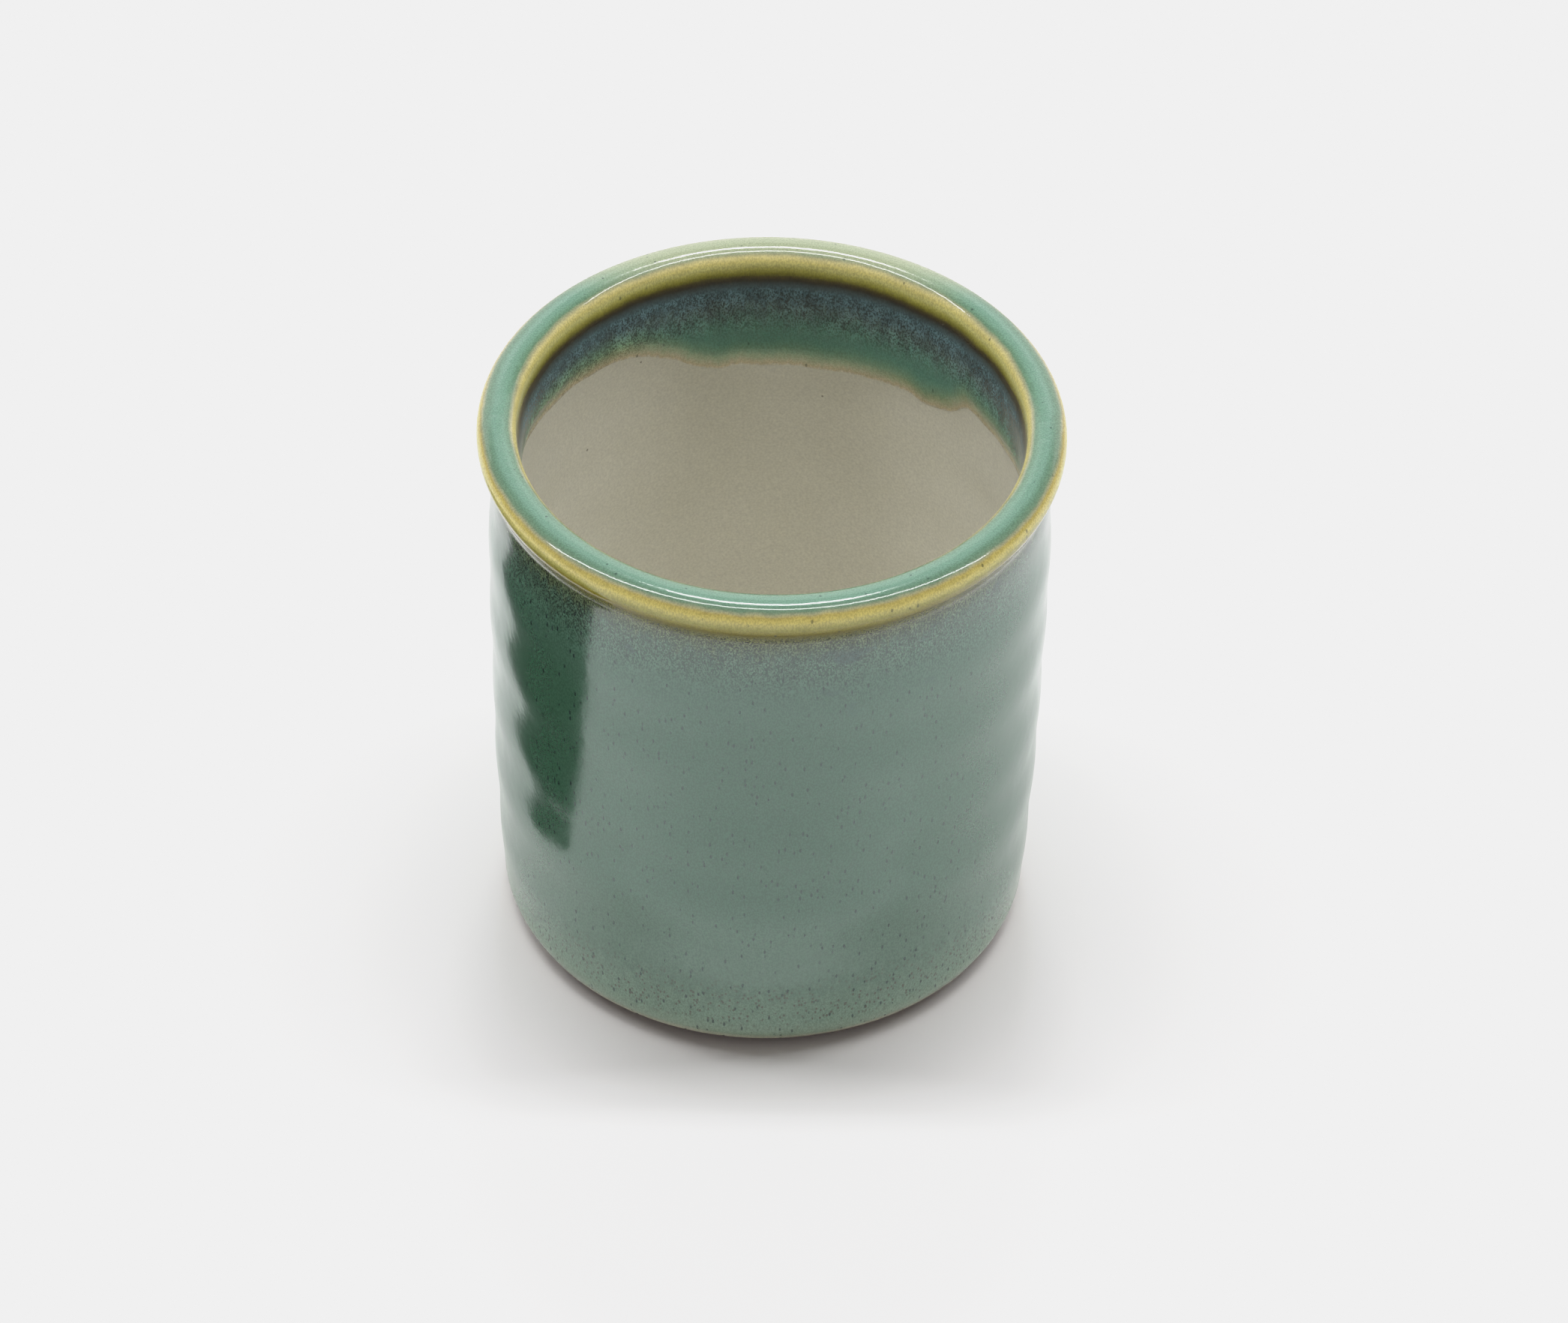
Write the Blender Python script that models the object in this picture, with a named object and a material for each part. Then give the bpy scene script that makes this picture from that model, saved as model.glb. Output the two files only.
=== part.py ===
"""Brush holder pot: a wheel-thrown stoneware cup in two glaze coats.

The clay body is one turned piece with a foot ring. The pale liner glaze coats the inside.
The green glaze coats the outside, runs over the lip and ends inside in a wavy drip line.
The pot stands on z = 0 and is centred on the Z axis; its front faces -Y.
"""

from math import copysign, cos, degrees, exp, pi, radians, sin

import bmesh
import bpy

MM = 0.001

# Driving dimensions, in millimetres.
HEIGHT = 93.6
LIP_RADIUS = 44.0
LIP_THICKNESS = 6.0
LIP_CROWN = 2.7
LIP_INNER_POWER = 0.76
LIP_OUTER_POWER = 0.87
GLAZE = 0.5
GAP = 0.3
LINER_RADIUS = 38.2
FLOOR_HEIGHT = 8.0
FLOOR_CORNER = 6.0
BASE_CORNER = 4.0
FOOT_RADIUS = 35.6
FOOT_INNER_RADIUS = 29.0
FOOT_CLEARANCE = 1.3
FOOT_RECESS = 1.8
FOOT_RECESS_SLOPE = 1.0
FOOT_CHAMFER = 0.4

# The lip's widest circle is where depths are counted from, downwards.
LIP_LEVEL = HEIGHT - LIP_CROWN
LIP_MIDDLE = LIP_RADIUS - LIP_THICKNESS / 2
NECK_DEPTH = 5.6
BAND_RADIUS = LINER_RADIUS - GLAZE - GAP
BAND_NECK_DEPTH = 5.0
LINER_TOP_DEPTH = 7.5
CLAY_RADIUS = LINER_RADIUS + GLAZE + GAP
CLAY_INSET = GLAZE + GAP
CLAY_INNER_DEPTHS = (45.0, LINER_TOP_DEPTH, 4.0, 2.0)
BASE_CORNER_LEVEL = FOOT_CLEARANCE + BASE_CORNER

# The wall swells a little under the neck and draws in to the base: (depth, radius).
WALL_OUTLINE = ((5.6, 42.0), (13.0, 42.2), (25.0, 42.4), (43.0, 42.1), (61.0, 41.75), (85.6, 40.65))

# Throwing rings: shallow grooves that the fingers left in the turning wall.
RING_PITCH = 14.6
RING_FIRST_DEPTH = 12.0
RING_HEIGHT = 0.22

# The green glaze stops on the base corner, this far round from the wall.
GLAZE_END_ANGLE = radians(50)

# The drip line inside the lip: its usual depth, and the lobes where the glaze ran further.
# Each ripple is (waves round the pot, height of the wave), and each lobe is
# (direction in degrees from +X, half width in degrees, extra depth).
DRIP_DEPTH = 11.3
DRIP_RIPPLES = ((3, 0.4), (7, -0.2))
DRIP_LOBES = (
    (80.0, 39.5, 8.3),
    (106.0, 5.5, 1.2),
    (48.0, 7.0, 2.2),
    (20.5, 16.0, 3.4),
    (205.0, 16.0, 2.0),
    (262.0, 22.0, 1.5),
    (318.0, 12.0, 2.4),
)

SEGMENTS = 48
WALL_ROWS = 18
CLAY_ROWS = 6
NECK_ROWS = 3
LIP_ROWS = 8
BAND_ROWS = 4
CORNER_ROWS = 3
LINER_ROWS = 4


def blend(x):
    """A smooth step from 0 to 1."""
    x = min(max(x, 0.0), 1.0)
    return x * x * (3 - 2 * x)


def through(points, x):
    """The height at x of the smooth curve through (x, y) points."""
    points = sorted(points)
    slopes = []
    for i in range(len(points)):
        before = points[max(i - 1, 0)]
        after = points[min(i + 1, len(points) - 1)]
        slopes.append((after[1] - before[1]) / (after[0] - before[0]))
    for i in range(len(points) - 1):
        (x0, y0), (x1, y1) = points[i], points[i + 1]
        if x <= x1 or i == len(points) - 2:
            break
    span = x1 - x0
    t = min(max((x - x0) / span, 0.0), 1.0)
    rise = t * t * (3 - 2 * t)
    start = t * (1 - t) * (1 - t) * span * slopes[i]
    end = t * t * (t - 1) * span * slopes[i + 1]
    return y0 + (y1 - y0) * rise + start + end


def plain_wall(depth):
    """The glazed outside of the wall before its throwing rings, flaring out into the lip."""
    wall = through(WALL_OUTLINE, depth)
    return wall + (LIP_RADIUS - wall) * (1 - blend(depth / NECK_DEPTH))


def wall_radius(depth):
    """The glazed outside of the wall with its throwing rings."""
    phase = 2 * pi * (depth - RING_FIRST_DEPTH) / RING_PITCH
    return plain_wall(depth) - RING_HEIGHT * blend(depth / NECK_DEPTH) * (0.5 + 0.5 * cos(phase))


def clay_radius(depth):
    """The outside of the clay: clear of the deepest rings, with no rings of its own."""
    return plain_wall(depth) - RING_HEIGHT * blend(depth / NECK_DEPTH) - CLAY_INSET


def drip_depth(angle):
    """How far the green glaze ran down inside the lip, in this direction."""
    depth = DRIP_DEPTH + sum(size * sin(waves * angle) for waves, size in DRIP_RIPPLES)
    for direction, width, extra in DRIP_LOBES:
        away = (degrees(angle) - direction + 180) % 360 - 180
        depth += extra * exp(-((away / width) ** 4))
    return depth


def steps(first, last, count):
    """Evenly spaced values from first to last."""
    return [first + (last - first) * i / count for i in range(count + 1)]


def lip_arc(inset):
    """The rounded top of the lip, from its inner side over the crown to its outer side.

    A power under 1 makes a corner squarer than an ellipse's: the inner one is the squarer."""
    half_width = LIP_THICKNESS / 2 - inset
    crown = LIP_CROWN - inset
    arc = []
    for turn in steps(pi, 0, LIP_ROWS):
        power = LIP_INNER_POWER if turn > pi / 2 else LIP_OUTER_POWER
        across = copysign(abs(cos(turn)) ** power, cos(turn))
        arc.append((LIP_MIDDLE + half_width * across, LIP_LEVEL + crown * abs(sin(turn)) ** power))
    return arc


def base_arc(inset, end):
    """The rounded corner between the wall and the underside."""
    centre = wall_radius(LIP_LEVEL - BASE_CORNER_LEVEL) - BASE_CORNER
    radius = BASE_CORNER - inset
    return [
        (centre + radius * cos(turn), BASE_CORNER_LEVEL - radius * sin(turn))
        for turn in steps(0, end, CORNER_ROWS)
    ]


def wall_depths(rows):
    """Depths down the wall between the lip and the base corner, closer together at the neck."""
    base = LIP_LEVEL - BASE_CORNER_LEVEL
    return steps(0, NECK_DEPTH, NECK_ROWS)[1:] + steps(NECK_DEPTH, base, rows)[1:-1]


def green_outside(inset):
    """The outside of the green coat from the lip's inner side down to the glaze line."""
    wall = [(wall_radius(depth) - inset, LIP_LEVEL - depth) for depth in wall_depths(WALL_ROWS)]
    return lip_arc(inset) + wall + base_arc(inset, GLAZE_END_ANGLE)


def green_band(angle, inset):
    """The green coat's face inside the lip, from the drip line up to the lip."""
    lip_inner = LIP_RADIUS - LIP_THICKNESS
    path = []
    for depth in steps(drip_depth(angle), 0, BAND_ROWS)[:-1]:
        radius = lip_inner + (BAND_RADIUS - lip_inner) * blend(depth / BAND_NECK_DEPTH)
        path.append((radius + inset, LIP_LEVEL - depth))
    return path


def green_section(angle):
    """The green coat cut through in one direction: a closed outline."""
    face = green_band(angle, 0) + green_outside(0)
    back = green_band(angle, GLAZE) + green_outside(GLAZE)
    return face + back[::-1]


def liner_section(angle):
    """The liner coat cut through in one direction, from its top edge to the middle."""
    top = LIP_LEVEL - LINER_TOP_DEPTH
    corner_level = FLOOR_HEIGHT + FLOOR_CORNER
    centre = LINER_RADIUS - FLOOR_CORNER
    heights = steps(top, corner_level, LINER_ROWS)[:-1]

    def skin(offset):
        radius = FLOOR_CORNER + offset
        wall = [(LINER_RADIUS + offset, height) for height in heights]
        corner = [
            (centre + radius * cos(turn), corner_level - radius * sin(turn))
            for turn in steps(0, pi / 2, CORNER_ROWS)
        ]
        return wall + corner + [(0, FLOOR_HEIGHT - offset)]

    return skin(GLAZE) + skin(0)[::-1]


def clay_inside():
    """The clay from the middle of its floor up to the lip."""
    radius = FLOOR_CORNER + CLAY_INSET
    corner_level = FLOOR_HEIGHT + FLOOR_CORNER
    centre = LINER_RADIUS - FLOOR_CORNER
    lip_inner = LIP_RADIUS - LIP_THICKNESS + CLAY_INSET
    path = [(0, FLOOR_HEIGHT - CLAY_INSET)]
    for turn in steps(pi / 2, 0, CORNER_ROWS):
        path.append((centre + radius * cos(turn), corner_level - radius * sin(turn)))
    for depth in CLAY_INNER_DEPTHS:
        narrowing = 1 - blend(depth / LINER_TOP_DEPTH)
        path.append((CLAY_RADIUS + (lip_inner - CLAY_RADIUS) * narrowing, LIP_LEVEL - depth))
    return path


def clay_underside():
    """The turned foot: from inside the base corner down to the ring and up to its middle."""
    return [
        (FOOT_RADIUS, FOOT_CLEARANCE + CLAY_INSET),
        (FOOT_RADIUS, FOOT_CHAMFER),
        (FOOT_RADIUS - FOOT_CHAMFER, 0),
        (FOOT_INNER_RADIUS + FOOT_CHAMFER, 0),
        (FOOT_INNER_RADIUS, FOOT_CHAMFER),
        (FOOT_INNER_RADIUS - FOOT_RECESS_SLOPE, FOOT_RECESS),
        (0, FOOT_RECESS),
    ]


def clay_section(angle):
    """The clay body cut through in one direction, from the inner floor to the foot."""
    wall = [(clay_radius(depth), LIP_LEVEL - depth) for depth in wall_depths(CLAY_ROWS)]
    outside = lip_arc(CLAY_INSET) + wall + base_arc(CLAY_INSET, pi / 2)
    return clay_inside() + outside + clay_underside()


def surface_material(name, colour, roughness, metallic=0.0):
    material = bpy.data.materials.new(name)
    material.use_nodes = True
    shader = material.node_tree.nodes["Principled BSDF"]
    shader.inputs["Base Color"].default_value = (*colour, 1)
    shader.inputs["Roughness"].default_value = roughness
    shader.inputs["Metallic"].default_value = metallic
    return material


def turned_object(name, section, material):
    """Turns the closed outline section(angle) about the Z axis. A point on the axis stays one."""
    mesh = bmesh.new()
    angles = [2 * pi * i / SEGMENTS for i in range(SEGMENTS)]
    sections = [section(angle) for angle in angles]
    rows = []
    for k, (radius, height) in enumerate(sections[0]):
        if radius == 0:
            rows.append([mesh.verts.new((0, 0, height * MM))])
            continue
        row = []
        for angle, outline in zip(angles, sections):
            r, z = outline[k]
            row.append(mesh.verts.new((r * cos(angle) * MM, r * sin(angle) * MM, z * MM)))
        rows.append(row)
    for first, second in zip(rows, rows[1:] + rows[:1]):
        for i in range(SEGMENTS):
            j = (i + 1) % SEGMENTS
            corners = [first[i % len(first)], first[j % len(first)]]
            corners += [second[j % len(second)], second[i % len(second)]]
            corners = list(dict.fromkeys(corners))
            if len(corners) > 2:
                mesh.faces.new(corners)
    bmesh.ops.recalc_face_normals(mesh, faces=mesh.faces)
    data = bpy.data.meshes.new(name)
    mesh.to_mesh(data)
    mesh.free()
    data.materials.append(material)
    data.shade_smooth()
    data.set_sharp_from_angle(angle=radians(40))
    obj = bpy.data.objects.new(name, data)
    bpy.context.scene.collection.objects.link(obj)
    return obj


def clear_scene():
    for obj in list(bpy.data.objects):
        bpy.data.objects.remove(obj)


def main():
    clear_scene()
    clay = surface_material("brown_stoneware", (0.10, 0.055, 0.033), 0.85)
    green = surface_material("green_glaze", (0.11, 0.17, 0.13), 0.22)
    liner = surface_material("beige_liner_glaze", (0.33, 0.31, 0.24), 0.35)
    turned_object("stoneware_body", clay_section, clay)
    turned_object("green_glaze_coat", green_section, green)
    turned_object("liner_glaze_coat", liner_section, liner)


main()
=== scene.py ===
"""Brush holder pot: the looks.

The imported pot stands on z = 0, centred on the Z axis, with its front towards -Y. Its three solids
are replaced here by finely turned meshes of the same size: the clay body, the green glaze coat
that runs over the lip and ends inside in a wavy drip line, and the pale liner glaze coat.
Outlines are in millimetres, as in the CAD source; angles run from +X towards +Y.
"""

from math import atan2, copysign, cos, degrees, exp, hypot, pi, radians, sin, tan

import bmesh
import bpy
from mathutils import Matrix, Vector


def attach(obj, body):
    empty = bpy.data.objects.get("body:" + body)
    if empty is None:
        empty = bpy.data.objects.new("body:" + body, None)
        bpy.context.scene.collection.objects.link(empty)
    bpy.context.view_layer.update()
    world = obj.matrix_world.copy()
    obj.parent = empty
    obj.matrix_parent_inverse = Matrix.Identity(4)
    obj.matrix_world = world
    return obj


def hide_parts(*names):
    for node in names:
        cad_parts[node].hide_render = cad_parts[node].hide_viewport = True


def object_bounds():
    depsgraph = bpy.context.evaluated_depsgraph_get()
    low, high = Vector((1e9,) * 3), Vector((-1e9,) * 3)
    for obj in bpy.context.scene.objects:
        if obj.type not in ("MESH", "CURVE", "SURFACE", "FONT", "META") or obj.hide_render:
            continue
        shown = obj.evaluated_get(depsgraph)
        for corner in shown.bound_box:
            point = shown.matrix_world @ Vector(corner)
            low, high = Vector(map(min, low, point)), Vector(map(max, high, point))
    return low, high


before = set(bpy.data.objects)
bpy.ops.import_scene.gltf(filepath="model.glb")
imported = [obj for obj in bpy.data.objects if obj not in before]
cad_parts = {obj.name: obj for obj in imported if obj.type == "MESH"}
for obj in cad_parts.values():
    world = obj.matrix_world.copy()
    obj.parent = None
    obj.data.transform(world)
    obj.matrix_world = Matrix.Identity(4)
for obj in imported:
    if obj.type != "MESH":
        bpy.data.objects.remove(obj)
cad_low, cad_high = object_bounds()

MM = 0.001

# The outline's driving sizes, in millimetres: the same values as in the CAD source, apart from
# the height and the lip's radius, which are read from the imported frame.
HEIGHT = cad_high.z / MM
LIP_RADIUS = cad_high.x / MM
LIP_THICKNESS = 6.0
LIP_CROWN = 2.7
LIP_INNER_POWER = 0.76
LIP_OUTER_POWER = 0.87
GLAZE = 0.5
GAP = 0.3
LINER_RADIUS = 38.2
FLOOR_HEIGHT = 8.0
FLOOR_CORNER = 6.0
BASE_CORNER = 4.0
FOOT_RADIUS = 35.6
FOOT_INNER_RADIUS = 29.0
FOOT_CLEARANCE = 1.3
FOOT_RECESS = 1.8
FOOT_RECESS_SLOPE = 1.0
FOOT_CHAMFER = 0.4

LIP_LEVEL = HEIGHT - LIP_CROWN
LIP_MIDDLE = LIP_RADIUS - LIP_THICKNESS / 2
LIP_INNER = LIP_RADIUS - LIP_THICKNESS
NECK_DEPTH = 5.6
BAND_RADIUS = LINER_RADIUS - GLAZE - GAP
BAND_NECK_DEPTH = 5.0
LINER_TOP_DEPTH = 7.5
CLAY_RADIUS = LINER_RADIUS + GLAZE + GAP
CLAY_INSET = GLAZE + GAP
CLAY_INNER_DEPTHS = (45.0, LINER_TOP_DEPTH, 4.0, 2.0)
BASE_CORNER_LEVEL = FOOT_CLEARANCE + BASE_CORNER
BASE_DEPTH = LIP_LEVEL - BASE_CORNER_LEVEL
WALL_OUTLINE = ((5.6, 42.0), (13.0, 42.2), (25.0, 42.4), (43.0, 42.1), (61.0, 41.75), (85.6, 40.65))

# Throwing rings. They rise and fall a little round the pot, because hands are not a lathe.
RING_PITCH = 14.6
RING_FIRST_DEPTH = 12.0
RING_HEIGHT = 0.22
RING_DRIFTS = ((1, 1.2, 0.4), (2, 0.6, 2.1))
INNER_RING_PITCH = 12.5
INNER_RING_HEIGHT = 0.12
OUT_OF_ROUND = ((2, 0.05, 0.8), (3, 0.03, 2.0), (5, 0.02, 4.1))

# Where the green glaze ends: on the base corner, and inside in the drip line.
GLAZE_END_ANGLE = 50.0
GLAZE_END_WAVES = ((4, 2.2, 0.3), (9, 1.6, 1.9), (17, 0.9, 5.0))
GLAZE_END_ROLL = 0.16
DRIP_DEPTH = 11.3
DRIP_RIPPLES = ((3, 0.4, 0.0), (7, -0.2, 0.0), (19, 0.12, 1.0), (31, 0.08, 2.6))
DRIP_LOBES = (
    (80.0, 39.5, 8.3),
    (106.0, 5.5, 1.2),
    (48.0, 7.0, 2.2),
    (20.5, 16.0, 3.4),
    (205.0, 16.0, 2.0),
    (262.0, 22.0, 1.5),
    (318.0, 12.0, 2.4),
)
DRIP_TAPER = 4.0
DRIP_EDGE = 0.08
DRIP_ROLL = 0.1

GREEN_SEGMENTS = 288
LINER_SEGMENTS = 224
CLAY_SEGMENTS = 192
WALL_STEP = 0.55
LIP_ROWS = 34
BAND_ROWS = 34
CORNER_ROWS = 10
CAP_ROWS = 4
BACK_WALL_STEP = 4.0
LINER_STEP = 1.2


# ---------------------------------------------------------------- outlines

def blend(x):
    """A smooth step from 0 to 1."""
    x = min(max(x, 0.0), 1.0)
    return x * x * (3 - 2 * x)


def bell(x):
    """A smooth hump, 1 at x = 0 and almost nothing past 2."""
    return exp(-x * x)


def waves(table, angle):
    """Sum of (count round the pot, height, phase) waves in this direction."""
    return sum(height * sin(count * angle + phase) for count, height, phase in table)


def through(points, x):
    """The height at x of the smooth curve through (x, y) points."""
    slopes = []
    for i in range(len(points)):
        before = points[max(i - 1, 0)]
        after = points[min(i + 1, len(points) - 1)]
        slopes.append((after[1] - before[1]) / (after[0] - before[0]))
    for i in range(len(points) - 1):
        (x0, y0), (x1, y1) = points[i], points[i + 1]
        if x <= x1 or i == len(points) - 2:
            break
    span = x1 - x0
    t = min(max((x - x0) / span, 0.0), 1.0)
    rise = t * t * (3 - 2 * t)
    start = t * (1 - t) * (1 - t) * span * slopes[i]
    end = t * t * (t - 1) * span * slopes[i + 1]
    return y0 + (y1 - y0) * rise + start + end


def steps(first, last, count):
    """Evenly spaced values from first to last."""
    return [first + (last - first) * i / count for i in range(count + 1)]


def plain_wall(depth):
    """The glazed outside of the wall before its throwing rings, flaring out into the lip."""
    wall = through(WALL_OUTLINE, depth)
    return wall + (LIP_RADIUS - wall) * (1 - blend(depth / NECK_DEPTH))


def wall_radius(depth, angle):
    """The glazed outside of the wall with its throwing rings."""
    shift = depth - RING_FIRST_DEPTH - waves(RING_DRIFTS, angle)
    ring = 0.5 + 0.5 * cos(2 * pi * shift / RING_PITCH)
    started = blend(depth / NECK_DEPTH)
    return plain_wall(depth) - started * (RING_HEIGHT * ring - waves(OUT_OF_ROUND, angle))


def clay_radius(depth):
    """The outside of the clay: clear of the deepest rings."""
    return plain_wall(depth) - RING_HEIGHT * blend(depth / NECK_DEPTH) - CLAY_INSET


def drip_depth(angle):
    """How far the green glaze ran down inside the lip, in this direction."""
    depth = DRIP_DEPTH + waves(DRIP_RIPPLES, angle)
    for direction, width, extra in DRIP_LOBES:
        away = (degrees(angle) - direction + 180) % 360 - 180
        depth += extra * exp(-((away / width) ** 4))
    return depth


def lip_arc(inset, rows):
    """The rounded top of the lip, from its inner side over the crown to its outer side."""
    half_width = LIP_THICKNESS / 2 - inset
    crown = LIP_CROWN - inset
    arc = []
    for turn in steps(pi, 0, rows):
        power = LIP_INNER_POWER if turn > pi / 2 else LIP_OUTER_POWER
        across = copysign(abs(cos(turn)) ** power, cos(turn))
        arc.append((LIP_MIDDLE + half_width * across, LIP_LEVEL + crown * abs(sin(turn)) ** power))
    return arc


def green_wall(angle, inset, step):
    """The wall from under the lip down to the base corner."""
    count = int(BASE_DEPTH / step)
    depths = steps(0, BASE_DEPTH, count)[1:-1]
    return [(wall_radius(depth, angle) - inset, LIP_LEVEL - depth) for depth in depths]


def green_corner(angle, inset, rows):
    """The base corner down to the wavy glaze line, where the melt stopped in a thin roll."""
    centre = wall_radius(BASE_DEPTH, angle) - BASE_CORNER
    end = GLAZE_END_ANGLE + waves(GLAZE_END_WAVES, angle)
    path = []
    for turn in steps(0, end, rows):
        to_end = radians(end - turn) * BASE_CORNER
        roll = GLAZE_END_ROLL * bell(to_end / 0.7 - 0.6) if inset == 0 else 0.0
        radius = BASE_CORNER - inset + roll
        turned = radians(turn)
        path.append((centre + radius * cos(turned), BASE_CORNER_LEVEL - radius * sin(turned)))
    return path


def green_band(angle, inset, rows):
    """The green coat inside the lip, from the drip line up. It thins out over the liner."""
    drip = drip_depth(angle)
    path = []
    for depth in steps(drip, 0, rows)[:-1]:
        to_edge = drip - depth
        radius = LIP_INNER + (BAND_RADIUS - LIP_INNER) * blend(depth / BAND_NECK_DEPTH)
        radius -= DRIP_ROLL * bell((to_edge - 3.2) / 1.6) * blend(depth / BAND_NECK_DEPTH)
        thin = 1 - blend(to_edge / DRIP_TAPER)
        radius += (LINER_RADIUS - DRIP_EDGE - radius) * thin
        thickness = GLAZE + (DRIP_EDGE / 2 - GLAZE) * thin
        path.append((radius + thickness * (inset > 0), LIP_LEVEL - depth))
    return path


def round_end(first, last, rows):
    """Points of the half circle that closes an outline between two ends of its faces."""
    middle = ((first[0] + last[0]) / 2, (first[1] + last[1]) / 2)
    radius = hypot(last[0] - first[0], last[1] - first[1]) / 2
    start = atan2(first[1] - middle[1], first[0] - middle[0])
    return [
        (middle[0] + radius * cos(start - turn), middle[1] + radius * sin(start - turn))
        for turn in steps(0, pi, rows)[1:-1]
    ]


def measured(path):
    """Each point of a path with its way along it from the lip's crown and to the nearer end."""
    way = [0.0]
    for (r0, z0), (r1, z1) in zip(path, path[1:]):
        way.append(way[-1] + hypot(r1 - r0, z1 - z0))
    crown = way[max(range(len(path)), key=lambda i: path[i][1])]
    marks = []
    for (radius, height), along in zip(path, way):
        edge = along if along < crown else way[-1] - along
        marks.append((radius, height, along - crown, edge))
    return marks


def green_section(angle):
    """The green coat cut through in one direction: (radius, height, run, edge) points."""
    face = green_band(angle, 0, BAND_ROWS) + lip_arc(0, LIP_ROWS)
    face += green_wall(angle, 0, WALL_STEP) + green_corner(angle, 0, CORNER_ROWS)
    back = green_band(angle, GLAZE, BAND_ROWS // 3) + lip_arc(GLAZE, LIP_ROWS // 3)
    back += green_wall(angle, GLAZE, BACK_WALL_STEP) + green_corner(angle, GLAZE, CORNER_ROWS // 3)
    face, back = measured(face), measured(back)[::-1]
    lower = [(*point, *face[-1][2:]) for point in round_end(face[-1], back[0], CAP_ROWS)]
    drip = [(*point, *face[0][2:]) for point in round_end(back[-1], face[0], CAP_ROWS)]
    return face + lower + back + drip


def liner_radius(depth, angle):
    """The inner wall, with soft throwing rings below the green band."""
    shift = depth - waves(RING_DRIFTS, angle + 1.0)
    ring = 0.5 + 0.5 * cos(2 * pi * shift / INNER_RING_PITCH)
    started = blend((depth - 18) / 8)
    return LINER_RADIUS - started * (INNER_RING_HEIGHT * ring - 0.5 * waves(OUT_OF_ROUND, angle))


def liner_section(angle):
    """The liner coat cut through in one direction, from its top edge to the middle."""
    corner_level = FLOOR_HEIGHT + FLOOR_CORNER
    deepest = LIP_LEVEL - corner_level
    face = []
    for depth in steps(LINER_TOP_DEPTH, deepest, int(deepest / LINER_STEP)):
        face.append((liner_radius(depth, angle), LIP_LEVEL - depth))
    centre = face[-1][0] - FLOOR_CORNER
    for turn in steps(0, pi / 2, CORNER_ROWS)[1:]:
        face.append((centre + FLOOR_CORNER * cos(turn), corner_level - FLOOR_CORNER * sin(turn)))
    for radius in steps(centre, 0, 24)[1:-1]:
        swirl = 0.12 * sin(2 * pi * radius / 7.0 + angle) * blend(radius / 6)
        face.append((radius, FLOOR_HEIGHT + swirl * (1 - blend((radius - centre + 4) / 4))))
    face.append((0, FLOOR_HEIGHT))
    back = [(0, FLOOR_HEIGHT - GLAZE)]
    for turn in steps(pi / 2, 0, 4):
        radius = FLOOR_CORNER + GLAZE
        outward = LINER_RADIUS - FLOOR_CORNER + radius * cos(turn)
        back.append((outward, corner_level - radius * sin(turn)))
    for depth in steps(deepest, LINER_TOP_DEPTH, 6)[1:]:
        back.append((LINER_RADIUS + GLAZE, LIP_LEVEL - depth))
    return [(radius, height, LIP_LEVEL - height, 0.0) for radius, height in face + back]


def foot_groove(radius):
    """Fine marks that the trimming tool left in the turned foot."""
    return 0.09 * (0.5 + 0.5 * sin(2 * pi * radius / 1.35)) * (0.6 + 0.4 * sin(radius * 1.7))


def clay_section(angle):
    """The clay body cut through in one direction, from the inner floor to the foot."""
    radius = FLOOR_CORNER + CLAY_INSET
    corner_level = FLOOR_HEIGHT + FLOOR_CORNER
    centre = LINER_RADIUS - FLOOR_CORNER
    lip_inner = LIP_INNER + CLAY_INSET
    path = [(0, FLOOR_HEIGHT - CLAY_INSET)]
    for turn in steps(pi / 2, 0, 4):
        path.append((centre + radius * cos(turn), corner_level - radius * sin(turn)))
    for depth in CLAY_INNER_DEPTHS:
        narrowing = 1 - blend(depth / LINER_TOP_DEPTH)
        path.append((CLAY_RADIUS + (lip_inner - CLAY_RADIUS) * narrowing, LIP_LEVEL - depth))
    path += lip_arc(CLAY_INSET, 10)
    for depth in steps(0, BASE_DEPTH, 24)[1:-1]:
        path.append((clay_radius(depth), LIP_LEVEL - depth))
    base_centre = plain_wall(BASE_DEPTH) - RING_HEIGHT - BASE_CORNER
    for turn in steps(0, pi / 2, 12):
        corner = BASE_CORNER - CLAY_INSET
        grain = 0.03 * sin(turn * 40 + 3 * sin(5 * angle))
        outward = base_centre + (corner + grain) * cos(turn)
        path.append((outward, BASE_CORNER_LEVEL - (corner + grain) * sin(turn)))
    worn = FOOT_CHAMFER * (1 + 0.25 * sin(3 * angle) + 0.15 * sin(8 * angle + 1))
    path += [
        (FOOT_RADIUS, FOOT_CLEARANCE + CLAY_INSET),
        (FOOT_RADIUS, worn),
        (FOOT_RADIUS - 0.3 * worn, 0.3 * worn),
        (FOOT_RADIUS - worn, 0),
    ]
    for radius in steps(FOOT_RADIUS - worn, FOOT_INNER_RADIUS + worn, 16)[1:-1]:
        path.append((radius, 0.5 * foot_groove(radius)))
    path += [
        (FOOT_INNER_RADIUS + worn, 0),
        (FOOT_INNER_RADIUS + 0.3 * worn, 0.3 * worn),
        (FOOT_INNER_RADIUS, worn),
    ]
    recess = FOOT_INNER_RADIUS - FOOT_RECESS_SLOPE
    for radius in steps(recess, 0, 90)[:-1]:
        path.append((radius, FOOT_RECESS + foot_groove(radius + 0.3 * sin(angle))))
    path.append((0, FOOT_RECESS))
    return [(radius, height, 0.0, 0.0) for radius, height in path]


# ---------------------------------------------------------------- meshes

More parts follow.
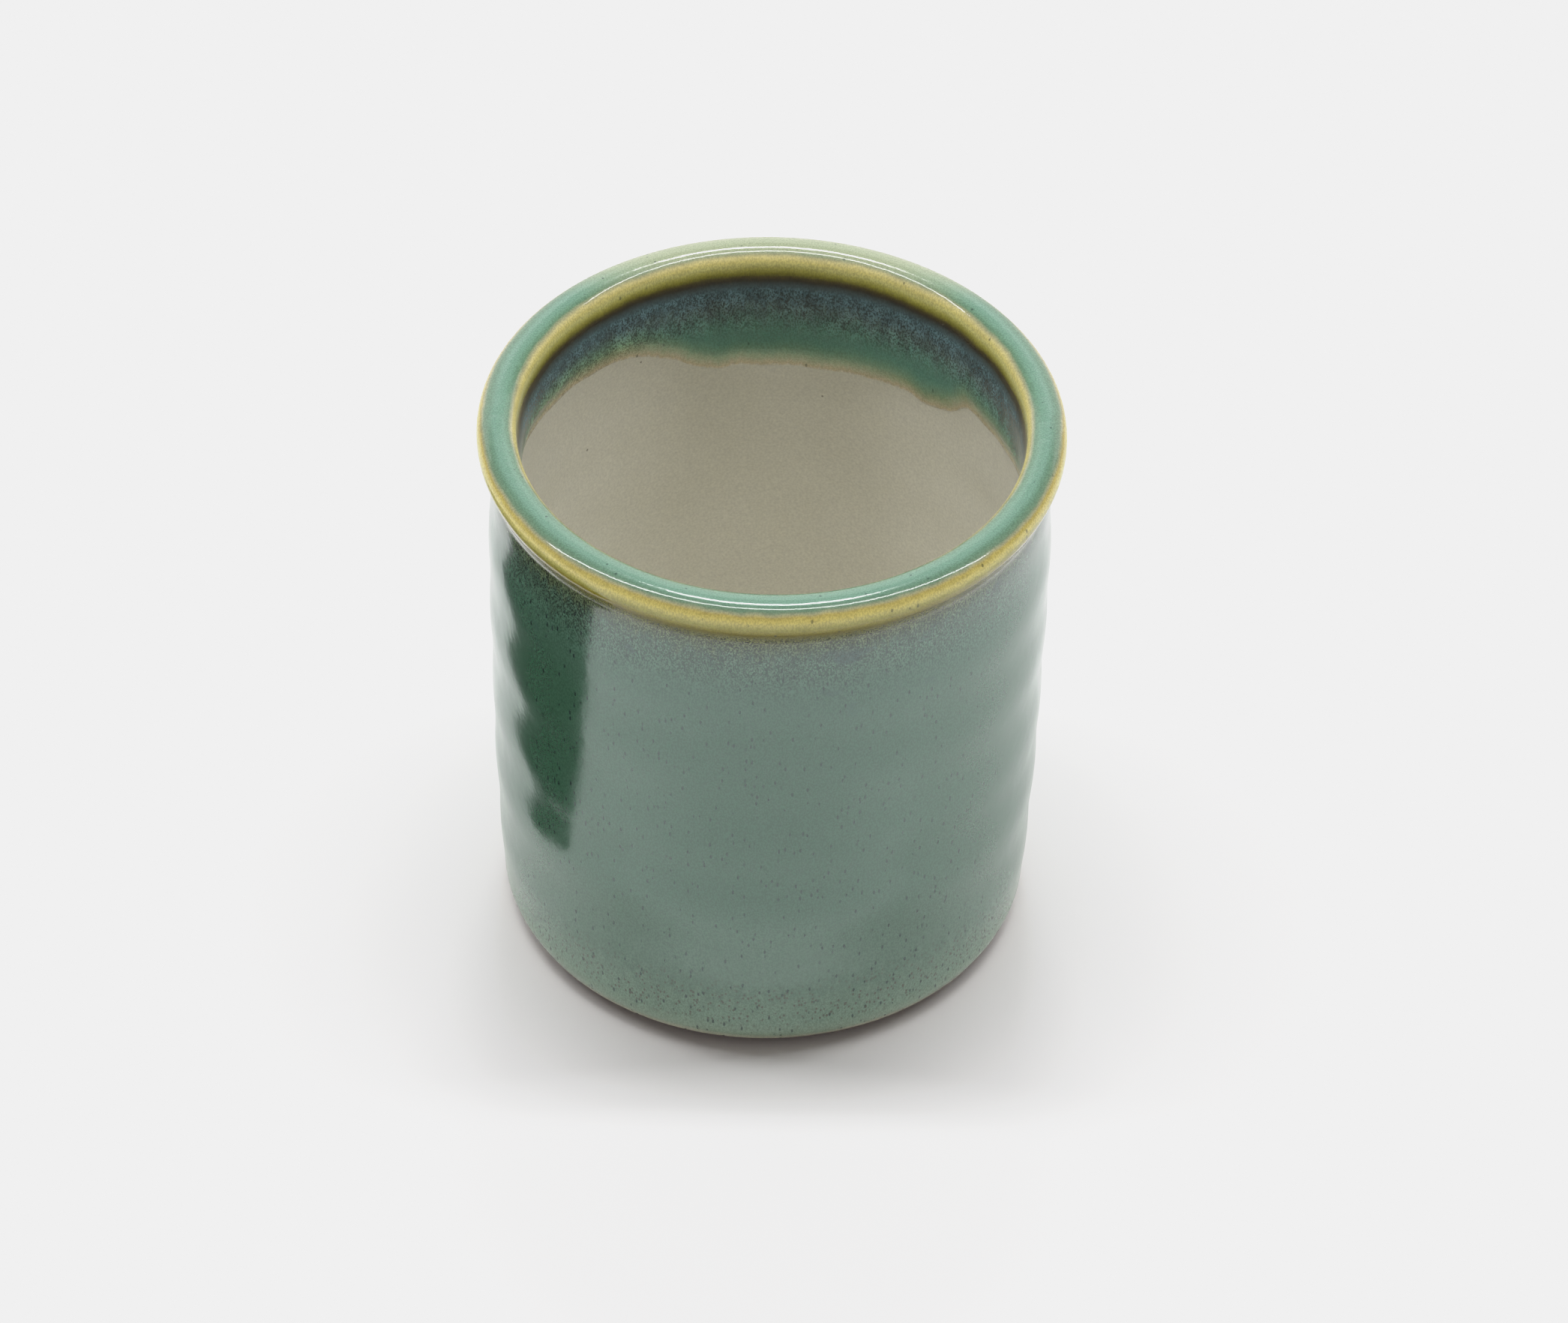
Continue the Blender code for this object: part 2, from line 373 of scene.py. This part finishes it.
def turned_object(name, section, segments, material):
    """Turns the closed outline section(angle) about the Z axis. A point on the axis stays one.

    The outline's run and edge values are kept on the mesh as point attributes."""
    mesh = bmesh.new()
    run_layer = mesh.verts.layers.float.new("run")
    edge_layer = mesh.verts.layers.float.new("edge")
    angles = [2 * pi * i / segments for i in range(segments)]
    sections = [section(angle) for angle in angles]
    rows = []
    for k in range(len(sections[0])):
        row = []
        for angle, outline in zip(angles, sections):
            radius, height, run, edge = outline[k]
            place = (radius * cos(angle) * MM, radius * sin(angle) * MM, height * MM)
            vertex = mesh.verts.new(place)
            vertex[run_layer] = run
            vertex[edge_layer] = edge
            row.append(vertex)
            if radius == 0:
                break
        rows.append(row)
    for first, second in zip(rows, rows[1:] + rows[:1]):
        for i in range(segments):
            j = (i + 1) % segments
            corners = [first[i % len(first)], first[j % len(first)]]
            corners += [second[j % len(second)], second[i % len(second)]]
            corners = list(dict.fromkeys(corners))
            if len(corners) > 2:
                mesh.faces.new(corners)
    bmesh.ops.recalc_face_normals(mesh, faces=mesh.faces)
    data = bpy.data.meshes.new(name)
    mesh.to_mesh(data)
    mesh.free()
    data.materials.append(material)
    data.shade_smooth()
    data.set_sharp_from_angle(angle=radians(50))
    obj = bpy.data.objects.new(name, data)
    bpy.context.scene.collection.objects.link(obj)
    return obj


def stand_for(obj, node):
    """The piece takes the CAD node's place under the root, and the CAD node is hidden."""
    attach(obj, "root")
    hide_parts(node)


# ---------------------------------------------------------------- shader nodes

class Graph:
    """Shorthand for building one material's nodes."""

    def __init__(self, name):
        self.material = bpy.data.materials.new(name)
        self.material.use_nodes = True
        self.tree = self.material.node_tree
        self.shader = self.tree.nodes["Principled BSDF"]
        self.place = self.add("ShaderNodeTexCoord").outputs["Object"]

    def add(self, kind, **settings):
        """A new node with these settings."""
        node = self.tree.nodes.new(kind)
        for setting, value in settings.items():
            setattr(node, setting, value)
        return node

    def feed(self, socket, value):
        """Links a node output into a socket, or sets it to a plain value."""
        if isinstance(value, bpy.types.NodeSocket):
            self.tree.links.new(value, socket)
        elif isinstance(value, tuple) and len(value) == 3 and socket.type == "RGBA":
            socket.default_value = (*value, 1)
        else:
            socket.default_value = value

    def attribute(self, name):
        """A value that the mesh keeps at its points."""
        return self.add("ShaderNodeAttribute", attribute_name=name).outputs["Fac"]

    def axis(self, name):
        """One object coordinate, in metres."""
        node = self.add("ShaderNodeSeparateXYZ")
        self.feed(node.inputs["Vector"], self.place)
        return node.outputs[name]

    def stretched(self, scale):
        """Object coordinates, scaled along each axis."""
        node = self.add("ShaderNodeMapping")
        self.feed(node.inputs["Vector"], self.place)
        self.feed(node.inputs["Scale"], scale)
        return node.outputs["Vector"]

    def noise(self, size, detail=2.0, roughness=0.5, stretch=(1, 1, 1)):
        """Noise whose features are about size millimetres, 0 to 1."""
        node = self.add("ShaderNodeTexNoise")
        self.feed(node.inputs["Vector"], self.stretched(stretch))
        self.feed(node.inputs["Scale"], 1 / (size * MM))
        self.feed(node.inputs["Detail"], detail)
        self.feed(node.inputs["Roughness"], roughness)
        return node.outputs["Fac"]

    def dots(self, spacing, stretch=(1, 1, 1)):
        """Distance from the nearest of scattered points, in cells, and a random value for each."""
        node = self.add("ShaderNodeTexVoronoi")
        self.feed(node.inputs["Vector"], self.stretched(stretch))
        self.feed(node.inputs["Scale"], 1 / (spacing * MM))
        pick = self.add("ShaderNodeSeparateColor")
        self.feed(pick.inputs["Color"], node.outputs["Color"])
        return node.outputs["Distance"], pick.outputs["Red"]

    def spots(self, spacing, outer, inner, share, stretch=(1, 1, 1)):
        """Spots on this share of scattered points: 1 within inner, 0 past outer, both in cells."""
        distance, chance = self.dots(spacing, stretch)
        chosen = self.math("GREATER_THAN", chance, 1 - share)
        return self.times(self.band(distance, outer, inner), chosen)

    def math(self, operation, a, b=0.0):
        """The result of one sum on two values."""
        node = self.add("ShaderNodeMath", operation=operation)
        self.feed(node.inputs[0], a)
        self.feed(node.inputs[1], b)
        return node.outputs[0]

    def times(self, a, b):
        return self.math("MULTIPLY", a, b)

    def plus(self, a, b):
        return self.math("ADD", a, b)

    def centred(self, pattern):
        """A pattern from 0 to 1, moved to lie about 0."""
        return self.math("SUBTRACT", pattern, 0.5)

    def band(self, value, low, high, start=0.0, end=1.0):
        """value from low to high becomes start to end, smoothly, and stays there outside."""
        node = self.add("ShaderNodeMapRange", interpolation_type="SMOOTHSTEP")
        limits = {"From Min": low, "From Max": high, "To Min": start, "To Max": end}
        for name, number in limits.items():
            self.feed(node.inputs[name], number)
        self.feed(node.inputs["Value"], value)
        return node.outputs["Result"]

    def zone(self, value, rise, fall):
        """1 between two edges of value. Each edge is a pair: where it is 0 and where it is 1."""
        return self.times(self.band(value, *rise), self.band(value, *fall))

    def ramp(self, value, stops):
        """Colours along value: each stop is (value, colour)."""
        low, high = stops[0][0], stops[-1][0]
        scaled = self.add("ShaderNodeMapRange")
        self.feed(scaled.inputs["Value"], value)
        self.feed(scaled.inputs["From Min"], low)
        self.feed(scaled.inputs["From Max"], high)
        node = self.add("ShaderNodeValToRGB")
        self.feed(node.inputs["Fac"], scaled.outputs["Result"])
        elements = node.color_ramp.elements
        while len(elements) < len(stops):
            elements.new(0.5)
        for element, (at, colour) in zip(elements, stops):
            element.position = (at - low) / (high - low)
            element.color = (*colour, 1)
        return node.outputs["Color"]

    def mix(self, factor, a, b, blend_type="MIX"):
        """Colour a blended towards b by factor."""
        node = self.add("ShaderNodeMix", data_type="RGBA", blend_type=blend_type)
        self.feed(node.inputs["Factor"], factor)
        self.feed(node.inputs[6], a)
        self.feed(node.inputs[7], b)
        return node.outputs[2]

    def flecked(self, colour, pattern, contrast):
        """The colour lightened and darkened by a pattern from -1 to 1."""
        shade = self.math("SUBTRACT", 1.0, self.times(pattern, contrast))
        return self.mix(1.0, colour, shade, "MULTIPLY")

    def bump(self, height, depth):
        """A bump of the given depth in millimetres for a height of 1."""
        node = self.add("ShaderNodeBump")
        self.feed(node.inputs["Strength"], 1.0)
        self.feed(node.inputs["Distance"], depth * MM)
        self.feed(node.inputs["Height"], height)
        return node.outputs["Normal"]


# ---------------------------------------------------------------- materials

# Colours of the green glaze along its run over the lip: millimetres from the crown, negative
# inwards. It is thin and amber where it ran off the edges, teal on the flat of the lip, and
# thick and dark in the neck inside, where it pooled. The pale grey stops at -2.35 and 2.35,
# where teal meets amber, are a painted highlight: the blurred edge of the lamps' line on the lip.
LIP_GLAZE_AND_HIGHLIGHT_COLOURS = (
    (-20.0, (0.085, 0.250, 0.190)),
    (-16.0, (0.090, 0.230, 0.185)),
    (-12.0, (0.088, 0.155, 0.162)),
    (-10.0, (0.070, 0.135, 0.165)),
    (-8.6, (0.074, 0.145, 0.172)),
    (-6.8, (0.024, 0.018, 0.009)),
    (-6.2, (0.060, 0.045, 0.006)),
    (-5.6, (0.235, 0.220, 0.022)),
    (-4.9, (0.510, 0.490, 0.110)),
    (-4.2, (0.720, 0.700, 0.260)),
    (-3.4, (0.660, 0.595, 0.220)),
    (-2.8, (0.560, 0.505, 0.230)),
    # Painted highlight: the pale grey where teal meets amber on the inner side.
    (-2.35, (0.300, 0.300, 0.175)),
    (-1.8, (0.100, 0.185, 0.115)),
    (-0.9, (0.130, 0.240, 0.175)),
    (0.3, (0.140, 0.250, 0.190)),
    (1.2, (0.100, 0.185, 0.125)),
    (1.9, (0.125, 0.195, 0.125)),
    # Painted highlight: the pale grey where teal meets amber on the outer side.
    (2.35, (0.300, 0.300, 0.180)),
    (2.75, (0.410, 0.340, 0.100)),
    (3.6, (0.640, 0.570, 0.180)),
    (4.1, (0.590, 0.550, 0.195)),
    (4.8, (0.360, 0.350, 0.095)),
    (5.6, (0.235, 0.212, 0.026)),
    (6.6, (0.145, 0.122, 0.018)),
    (10.0, (0.095, 0.122, 0.060)),
    (13.0, (0.062, 0.112, 0.076)),
    (19.0, (0.064, 0.140, 0.094)),
    (30.0, (0.045, 0.118, 0.070)),
)
# Colours above the drip line and above the foot: millimetres from the edge of the glaze.
DRIP_COLOURS = (
    (0.0, (0.620, 0.590, 0.480)),
    (0.4, (0.530, 0.460, 0.300)),
    (1.0, (0.480, 0.460, 0.300)),
    (2.0, (0.330, 0.400, 0.250)),
    (3.5, (0.200, 0.330, 0.205)),
    (7.0, (0.100, 0.250, 0.190)),
)
# Above the foot the green is painted lighter towards the glaze edge: painted light standing in for
# light thrown up from the floor. The cream edge itself, within the first millimetre, is the glaze's
# own colour.
FOOT_COLOURS_WITH_PAINTED_LIGHT = (
    (0.0, (0.700, 0.660, 0.500)),
    (0.8, (0.500, 0.500, 0.360)),
    (2.0, (0.250, 0.340, 0.240)),
    (5.0, (0.180, 0.280, 0.200)),
    (13.0, (0.100, 0.180, 0.125)),
    (18.0, (0.080, 0.155, 0.103)),
    (36.0, (0.045, 0.118, 0.070)),
)
# Painted reflection of the pale backdrop, mixed into the flat of the lip at the back.
PAINTED_BACKDROP_REFLECTION = (0.300, 0.330, 0.215)
NAVY_SMUDGE = (0.030, 0.045, 0.070)
IRON_SPECK = (0.020, 0.036, 0.034)
IRON_DASH = (0.008, 0.018, 0.020)
RUSTY_DUST = (0.080, 0.062, 0.045)

# How strongly the glaze mirrors: the thick glaze on the wall more than the lip, with a green tint.
LIP_IOR = 1.5
WALL_IOR = 2.03
WALL_TINT = (0.85, 1.0, 0.96)


def glaze_bands(g, run, edge, soft):
    """The colour bands: over the lip, along the drip line and down to the foot, with a painted
    reflection at the back of the lip, a painted highlight on the lip and painted light above the
    foot.
    """
    # The bands waver, and below the lip they are pulled out in streaks.
    streaks = g.centred(g.noise(0.9, 3.0, 0.6, stretch=(1, 1, 0.3)))
    pulled = g.times(streaks, 9.0)
    pull_zone = g.plus(g.band(run, 9.0, 14.0), g.band(run, -8.5, -11.5, 0.0, 0.6))
    waver = g.times(g.centred(soft), 0.8)
    warped = g.plus(g.plus(run, waver), g.times(pulled, pull_zone))
    colour = g.ramp(warped, LIP_GLAZE_AND_HIGHLIGHT_COLOURS)

    # At the back the flat of the lip is painted pale yellow-green: a painted reflection of the pale
    # backdrop behind the pot.
    far = g.band(g.axis("Y"), 26 * MM, 38 * MM)
    flat = g.zone(run, (-2.6, -1.6), (3.4, 2.4))
    colour = g.mix(g.times(g.times(far, flat), 0.85), colour, PAINTED_BACKDROP_REFLECTION)

    drip = g.ramp(g.plus(edge, g.times(streaks, 1.6)), DRIP_COLOURS)
    near_drip = g.times(g.band(run, -7.0, -9.0), g.band(edge, 7.0, 2.5))
    colour = g.mix(near_drip, colour, drip)

    # Towards the foot the colour is painted lighter: painted light in place of light from the
    # floor.
    foot = g.ramp(g.plus(edge, g.times(pulled, g.band(edge, 2.0, 9.0))), FOOT_COLOURS_WITH_PAINTED_LIGHT)
    near_foot = g.times(g.band(run, 4.5, 6.0), g.band(edge, 36.0, 24.0))
    return g.mix(near_foot, colour, foot)


def glaze_fur(g, run, low, colour):
    """Hare's fur: dark and pale flecks, thick below the lip and in the inner neck."""
    patchy = g.noise(6.0, 2.0, 0.5)
    fur = g.zone(run, (6.5, 9.0), (24.0, 11.0))
    neck = g.zone(run, (-7.5, -9.0), (-18.0, -13.0))
    fleck_zone = g.plus(g.plus(g.times(fur, 0.62), g.times(neck, 0.5)), g.times(low, 0.08))
    contrast = g.plus(g.times(fleck_zone, g.band(patchy, 0.3, 0.6, 0.6, 1.0)), 0.14)
    fleck = g.noise(0.24, 2.0, 0.6, stretch=(1, 1, 0.6))
    colour = g.flecked(colour, g.band(fleck, 0.38, 0.62, -1.0, 1.0), contrast)

    blotch = g.noise(2.2, 3.0, 0.65, stretch=(1, 1, 0.7))
    blotched = g.plus(g.times(neck, 0.28), g.times(fur, 0.14))
    colour = g.flecked(colour, g.band(blotch, 0.38, 0.62, -1.0, 1.0), blotched)

    smudge = g.times(g.zone(run, (9.0, 13.0), (30.0, 16.0)), g.band(patchy, 0.60, 0.70))
    return g.mix(g.times(smudge, g.band(fleck, 0.62, 0.48, 0.0, 0.6)), colour, NAVY_SMUDGE)


def glaze_iron(g, run, low, colour):
    """Iron specks: a few on the lip, many short dashes down the wall, and dust by the foot."""
    speck = g.spots(1.3, 0.20, 0.10, 0.18, stretch=(1, 1, 0.5))
    colour = g.mix(g.times(speck, 0.6), colour, IRON_SPECK)
    dash = g.spots(0.85, 0.28, 0.12, 0.42, stretch=(1, 1, 0.42))
    colour = g.mix(g.times(g.times(dash, g.band(run, 8.0, 13.0)), 0.85), colour, IRON_DASH)
    dust = g.spots(0.55, 0.42, 0.22, 0.55, stretch=(1, 1, 0.6))
    return g.mix(g.times(g.times(dust, low), 0.8), colour, RUSTY_DUST)


def green_glaze():
    """Glossy reduction glaze that breaks from teal to amber on the lip, with hare's fur."""
    g = Graph("green_glaze")
    run, edge = g.attribute("run"), g.attribute("edge")
    soft = g.noise(5.0, 3.0, 0.55)
    low = g.times(g.band(run, 4.5, 6.0), g.zone(edge, (2.5, 6.0), (17.0, 9.0)))
    colour = glaze_bands(g, run, edge, soft)
    colour = glaze_fur(g, run, low, colour)
    colour = glaze_iron(g, run, low, colour)
    g.feed(g.shader.inputs["Base Color"], colour)

    # The lip is the smoothest part, and the hollow under it mirrors least.
    roughness = g.plus(g.band(soft, 0.35, 0.65, 0.09, 0.13), g.band(run, 5.0, 9.0, 0.0, 0.06))
    g.feed(g.shader.inputs["Roughness"], roughness)
    under_lip = g.zone(run, (5.0, 6.2), (11.0, 8.0))
    gloss = g.band(run, 7.0, 13.0, LIP_IOR, WALL_IOR)
    g.feed(g.shader.inputs["IOR"], g.math("SUBTRACT", gloss, g.times(under_lip, 0.2)))
    tint = g.mix(g.band(run, 7.0, 13.0), (1.0, 1.0, 1.0), WALL_TINT)
    g.feed(g.shader.inputs["Specular Tint"], tint)
    peel = g.plus(g.noise(2.6, 2.0, 0.5), g.times(g.noise(0.8, 2.0, 0.5), 0.25))
    g.feed(g.shader.inputs["Normal"], g.bump(peel, 0.03))
    return g.material


def liner_glaze():
    """Satin grey-beige liner with a fine orange-peel skin."""
    g = Graph("beige_liner_glaze")
    cloud = g.noise(14.0, 3.0, 0.5)
    grain = g.noise(0.4, 2.0, 0.6)
    colour = g.ramp(cloud, ((0.3, (0.68, 0.665, 0.585)), (0.7, (0.71, 0.695, 0.62))))
    shade = g.ramp(grain, ((0.25, (0.88, 0.88, 0.88)), (0.75, (1.12, 1.12, 1.12))))
    colour = g.mix(1.0, colour, shade, "MULTIPLY")
    hole = g.spots(4.0, 0.07, 0.035, 0.2)
    colour = g.mix(g.times(hole, 0.7), colour, (0.10, 0.08, 0.05))
    g.feed(g.shader.inputs["Base Color"], colour)
    g.feed(g.shader.inputs["Roughness"], g.band(grain, 0.3, 0.7, 0.34, 0.44))
    g.feed(g.shader.inputs["IOR"], 1.5)
    skin = g.plus(g.noise(0.7, 2.0, 0.5), g.times(g.noise(3.0, 2.0, 0.5), 0.8))
    g.feed(g.shader.inputs["Normal"], g.bump(skin, 0.04))
    return g.material


def brown_stoneware():
    """Unglazed fired clay: dark brown, matt and a little gritty."""
    g = Graph("brown_stoneware")
    cloud = g.noise(8.0, 4.0, 0.6)
    colour = g.ramp(cloud, ((0.3, (0.10, 0.055, 0.033)), (0.7, (0.17, 0.10, 0.062))))
    grog = g.spots(0.9, 0.30, 0.18, 0.3)
    colour = g.mix(g.times(grog, 0.5), colour, (0.27, 0.20, 0.14))
    g.feed(g.shader.inputs["Base Color"], colour)
    g.feed(g.shader.inputs["Roughness"], 0.86)
    rough = g.plus(g.noise(0.5, 4.0, 0.65), g.times(grog, 0.4))
    g.feed(g.shader.inputs["Normal"], g.bump(rough, 0.12))
    return g.material


# ---------------------------------------------------------------- studio

CAMERA_TILT = radians(42.45)
CAMERA_ROLL = radians(1.27)
CAMERA_DISTANCE = 1.104
CAMERA_LENS = 170.33
AIM_RIGHT = 1.80 * MM
AIM_UP = -34.30 * MM

PAPER_WHITE = 0.871
PRINT_SHOULDER = ((0.68, 0.68), (0.84, 0.785), (1.0, 0.85), (1.12, PAPER_WHITE))
PRINT_LIMIT = 2.0

# The studio's places and sizes, in metres. Light centres are measured from the lip's middle.
STRIP_HEIGHT = 1.2
STRIP_SHIFT = -0.024
STRIP_RISE = radians(85.0)
STRIP_LENGTH = 2.88
STRIP_MIDDLE_LENGTH = 1.08
STRIP_WIDTH = 0.072
BACK_BOX_REACH = 1.2
BACK_BOX_RISE = radians(57.0)
ROOM_COLOUR = (1.0, 0.91, 0.88)
ROOM_STRENGTH = 0.28
PALE_ROOM_STRENGTH = 1.3
FLOOR_HALF = 3.0
CARD_LIFT = 0.5 * MM


def add_camera():
    """Looks down at the lip from the front, from an arm's length away."""
    forward = Vector((0, cos(CAMERA_TILT), -sin(CAMERA_TILT)))
    level = Vector((1, 0, 0))
    upright = level.cross(forward)
    right = cos(CAMERA_ROLL) * level + sin(CAMERA_ROLL) * upright
    up = cos(CAMERA_ROLL) * upright - sin(CAMERA_ROLL) * level
    lip_centre = Vector((0, 0, LIP_LEVEL * MM))
    place = lip_centre + AIM_RIGHT * right + AIM_UP * up - CAMERA_DISTANCE * forward
    data = bpy.data.cameras.new("camera")
    data.sensor_width = 36.0
    data.lens = CAMERA_LENS
    camera = bpy.data.objects.new("camera", data)
    bpy.context.scene.collection.objects.link(camera)
    turned = Matrix((right, up, -forward)).transposed().to_4x4()
    camera.matrix_world = Matrix.Translation(place) @ turned
    bpy.context.scene.camera = camera


def print_white():
    """Overexposed paper prints as one pale grey, reached over a soft shoulder."""
    view = bpy.context.scene.view_settings
    view.view_transform = "Standard"
    view.use_curve_mapping = True
    view.curve_mapping.clip_max_x = PRINT_LIMIT
    curve = view.curve_mapping.curves[3]
    curve.points[1].location = (PRINT_LIMIT, PAPER_WHITE)
    for exposure, printed in PRINT_SHOULDER:
        curve.points.new(exposure, printed)
    for point in curve.points:
        point.handle_type = "VECTOR"
    view.curve_mapping.update()


def stage_plane(name, corners, material):
    """A flat sheet of the studio, from its corners."""
    data = bpy.data.meshes.new(name)
    data.from_pydata([Vector(corner) for corner in corners], [], [tuple(range(len(corners)))])
    data.materials.append(material)
    obj = bpy.data.objects.new(name, data)
    bpy.context.scene.collection.objects.link(obj)
    return obj


def plain_material(name, colour):
    """Matt paper."""
    material = bpy.data.materials.new(name)
    material.use_nodes = True
    shader = material.node_tree.nodes["Principled BSDF"]
    shader.inputs["Base Color"].default_value = (*colour, 1)
    shader.inputs["Roughness"].default_value = 1.0
    shader.inputs["Specular IOR Level"].default_value = 0.0
    return material


def add_floor():
    """A plain pale sheet that ends far out of the camera's view."""
    half = FLOOR_HALF
    corners = ((-half, -half, 0), (half, -half, 0), (half, half, 0), (-half, half, 0))
    stage_plane("floor", corners, plain_material("pale_paper", (0.80, 0.80, 0.805)))


def add_dark_card():
    """A black card just over the floor at the left, there only to be mirrored in the wall's
    gloss. Its corners are in millimetres."""
    corners = ((-63, -29), (-63, -10), (-76, 8), (-99, 42), (-125, 88), (-220, 40), (-190, -90))
    corners = [(x * MM, y * MM, CARD_LIFT) for x, y in corners]
    card = stage_plane("dark_card", corners, plain_material("black_paper", (0.01, 0.01, 0.01)))
    card.visible_camera = False
    card.visible_diffuse = False
    card.visible_shadow = False


def softbox(name, centre, size, radiance):
    """A flat light that faces the middle of the lip, with its first side level."""
    target = Vector((0, 0, LIP_LEVEL * MM))
    data = bpy.data.lights.new(name, "AREA")
    data.shape = "RECTANGLE"
    data.size, data.size_y = size
    data.energy = radiance * pi * size[0] * size[1]
    light = bpy.data.objects.new(name, data)
    bpy.context.scene.collection.objects.link(light)
    away = Vector(centre).normalized()
    along = (Vector((1, 0, 0)) - away.x * away).normalized()
    light.matrix_world = Matrix((along, away.cross(along), away)).transposed().to_4x4()
    light.location = target + Vector(centre)
    light.visible_camera = False


def add_lights():
    """A long strip almost overhead, brightest in its middle, a small box behind, and a pale glow
    at the back."""
    strip_place = (STRIP_SHIFT, STRIP_HEIGHT / tan(STRIP_RISE), STRIP_HEIGHT)
    softbox("overhead_strip", strip_place, (STRIP_LENGTH, STRIP_WIDTH), radiance=26.0)
    softbox("strip_middle", strip_place, (STRIP_MIDDLE_LENGTH, STRIP_WIDTH), radiance=34.0)
    back_y = BACK_BOX_REACH * cos(BACK_BOX_RISE)
    back_z = BACK_BOX_REACH * sin(BACK_BOX_RISE)
    softbox("back_box", (0, back_y, back_z), (0.22, 0.12), radiance=30.0)
    softbox("backdrop", (0, 1.6, 0.55), (3.2, 1.3), radiance=1.3)


def add_room():
    """A dim, even room. The camera sees it as pale paper."""
    world = bpy.data.worlds.new("room")
    bpy.context.scene.world = world
    world.use_nodes = True
    tree = world.node_tree
    dim = tree.nodes["Background"]
    dim.inputs["Color"].default_value = (*ROOM_COLOUR, 1)
    dim.inputs["Strength"].default_value = ROOM_STRENGTH
    pale = tree.nodes.new("ShaderNodeBackground")
    pale.inputs["Strength"].default_value = PALE_ROOM_STRENGTH
    path = tree.nodes.new("ShaderNodeLightPath")
    mix = tree.nodes.new("ShaderNodeMixShader")
    tree.links.new(path.outputs["Is Camera Ray"], mix.inputs["Fac"])
    tree.links.new(dim.outputs[0], mix.inputs[1])
    tree.links.new(pale.outputs[0], mix.inputs[2])
    tree.links.new(mix.outputs[0], tree.nodes["World Output"].inputs["Surface"])


def main():
    """Builds the pot and its studio."""
    clay = turned_object("pot_clay", clay_section, CLAY_SEGMENTS, brown_stoneware())
    stand_for(clay, "stoneware_body")
    liner = turned_object("pot_liner_glaze", liner_section, LINER_SEGMENTS, liner_glaze())
    stand_for(liner, "liner_glaze_coat")
    green = turned_object("pot_green_glaze", green_section, GREEN_SEGMENTS, green_glaze())
    stand_for(green, "green_glaze_coat")
    add_camera()
    add_floor()
    add_dark_card()
    add_lights()
    add_room()
    print_white()


main()
